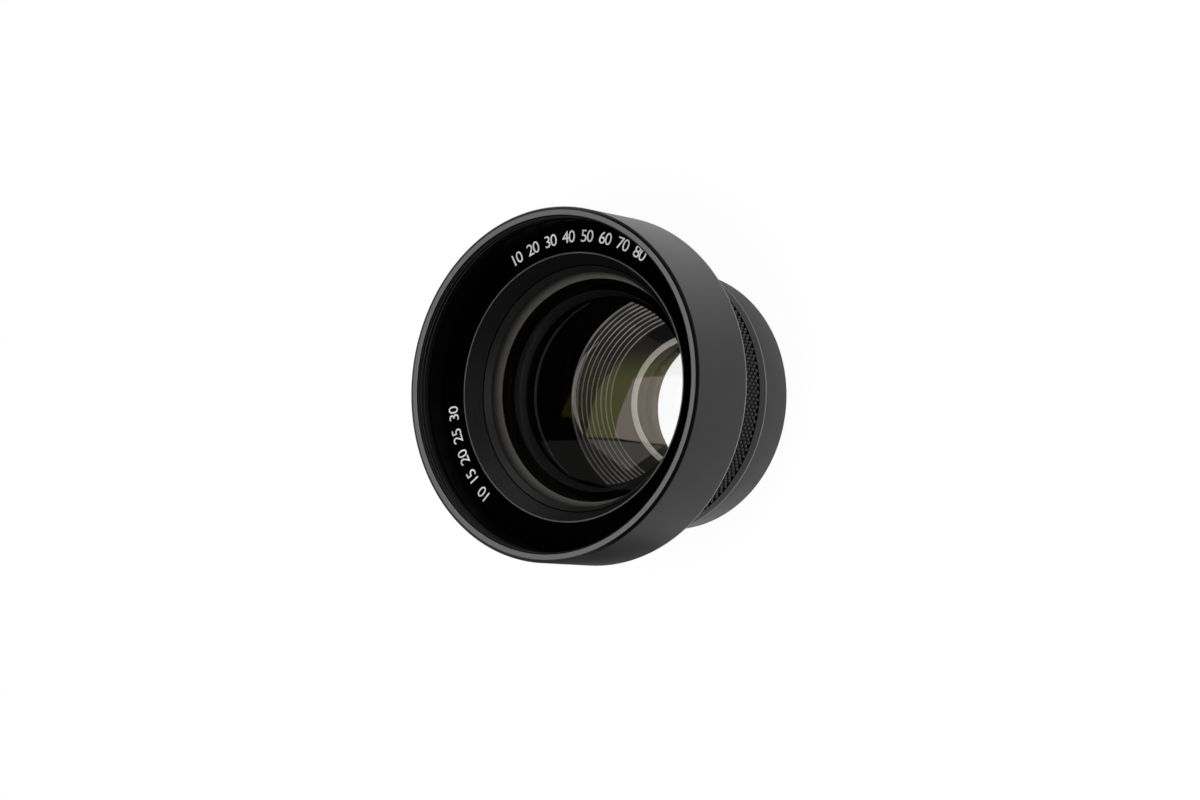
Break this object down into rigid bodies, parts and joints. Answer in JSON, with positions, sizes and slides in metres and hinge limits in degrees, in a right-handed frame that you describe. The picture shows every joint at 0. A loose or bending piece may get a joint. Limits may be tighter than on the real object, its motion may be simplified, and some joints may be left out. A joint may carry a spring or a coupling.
{
  "type": "teleconverter lens",
  "caption": "Screw-on telephoto converter with a wide recessed front, coated glass, a diamond-knurled grip and a tapered rear shell that screws onto a fixed camera lens.",
  "frame": {"origin": "centre of the rear face, which the converter stands on", "axes": "+Z along the optical axis from the camera side to the front"},
  "size_m": [0.0709, 0.0708, 0.046],
  "materials": {
    "anodised_shell": "black anodised, fine satin",
    "knurled_grip": "black anodised, knurled",
    "name_ring_black": "flat black anodised",
    "baffle_black": "fine grooved, flat black",
    "ring_black": "black anodised, satin",
    "cell_black": "flat black anodised",
    "trap_plastic": "moulded, flat black",
    "spacer_black": "flat black anodised",
    "shim_brass": "rolled",
    "screw_steel": "black oxide",
    "front_glass": "polished, green and amber coating",
    "crown_glass": "polished, coated on the front",
    "flint_glass": "polished, coated on the rear",
    "rear_glass": "polished, purple coating"
  },
  "bodies": {
    "root": {"front_shell": "anodised_shell", "rear_shell": "anodised_shell", "grip_ring": "knurled_grip", "name_ring": "name_ring_black", "front_baffle_ring": "baffle_black", "front_retaining_ring": "ring_black", "front_element": "front_glass", "front_spacer": "spacer_black", "front_cell": "cell_black", "doublet_retaining_ring": "ring_black", "crown_element": "crown_glass", "flint_element": "flint_glass", "setting_shim": "shim_brass", "main_tube": "cell_black", "light_trap": "trap_plastic", "rear_cell": "cell_black", "rear_element": "rear_glass", "rear_retaining_ring": "ring_black", "front_cell_screws": "screw_steel", "rear_cell_screws": "screw_steel", "centring_screws": "screw_steel"}
  },
  "joints": []
}
